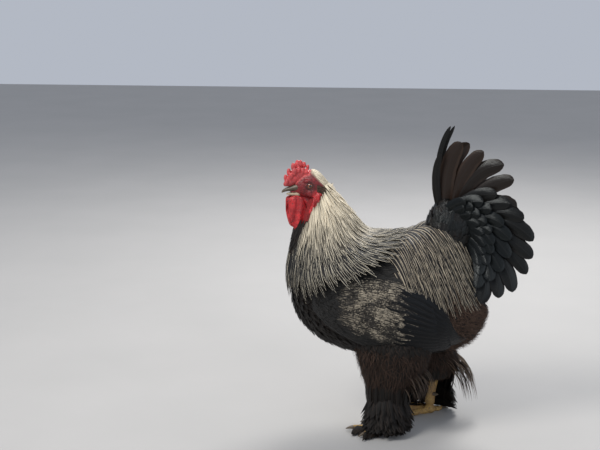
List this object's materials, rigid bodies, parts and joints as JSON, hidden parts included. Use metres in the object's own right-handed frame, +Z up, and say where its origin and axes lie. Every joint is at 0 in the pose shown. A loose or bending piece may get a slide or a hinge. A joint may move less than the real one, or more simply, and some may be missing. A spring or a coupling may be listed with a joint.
{
  "type": "brahma chicken",
  "caption": "Standing dark brahma cock, life size: pea comb, wattles, laced hackle cape, folded wings, upright fan tail and feathered legs and feet.",
  "frame": {"origin": "on the floor, under the middle of the bird's extent along X and Y", "axes": "+X from the bill towards the tail, +Y towards the bird's right, +Z up; the bird faces -X"},
  "size_m": [0.583, 0.2924, 0.7322],
  "materials": {
    "plumage_dark": "matt black-brown feathers, fluffy at the rear",
    "plumage_hackle": "satin feathers with silver-cream edges and black middles",
    "plumage_wing": "satin feathers, silver-streaked bow and blue-black bar",
    "plumage_tail": "glossy green-black feathers",
    "boot": "matt black-brown feathers over an ochre shank",
    "scaled_skin": "satin scales",
    "red_skin": "satin, waxy red skin",
    "horn": "satin dark horn",
    "eye": "wet gloss"
  },
  "bodies": {
    "root": {"torso": "plumage_dark", "neck": "plumage_hackle", "tail": "plumage_tail", "wing_left": "plumage_wing", "wing_right": "plumage_wing", "head": "red_skin", "beak_upper": "horn", "beak_lower": "horn", "comb": "red_skin", "eye_left": "eye", "wattle_left": "red_skin", "earlobe_left": "red_skin", "eye_right": "eye", "wattle_right": "red_skin", "earlobe_right": "red_skin", "thigh_left": "plumage_dark", "shank_left": "boot", "spur_left": "horn", "foot_left": "scaled_skin", "claw_left_inner": "horn", "claw_left_middle": "horn", "claw_left_outer": "horn", "claw_left_hind": "horn", "thigh_right": "plumage_dark", "shank_right": "boot", "spur_right": "horn", "foot_right": "scaled_skin", "claw_right_inner": "horn", "claw_right_middle": "horn", "claw_right_outer": "horn", "claw_right_hind": "horn"}
  },
  "joints": []
}
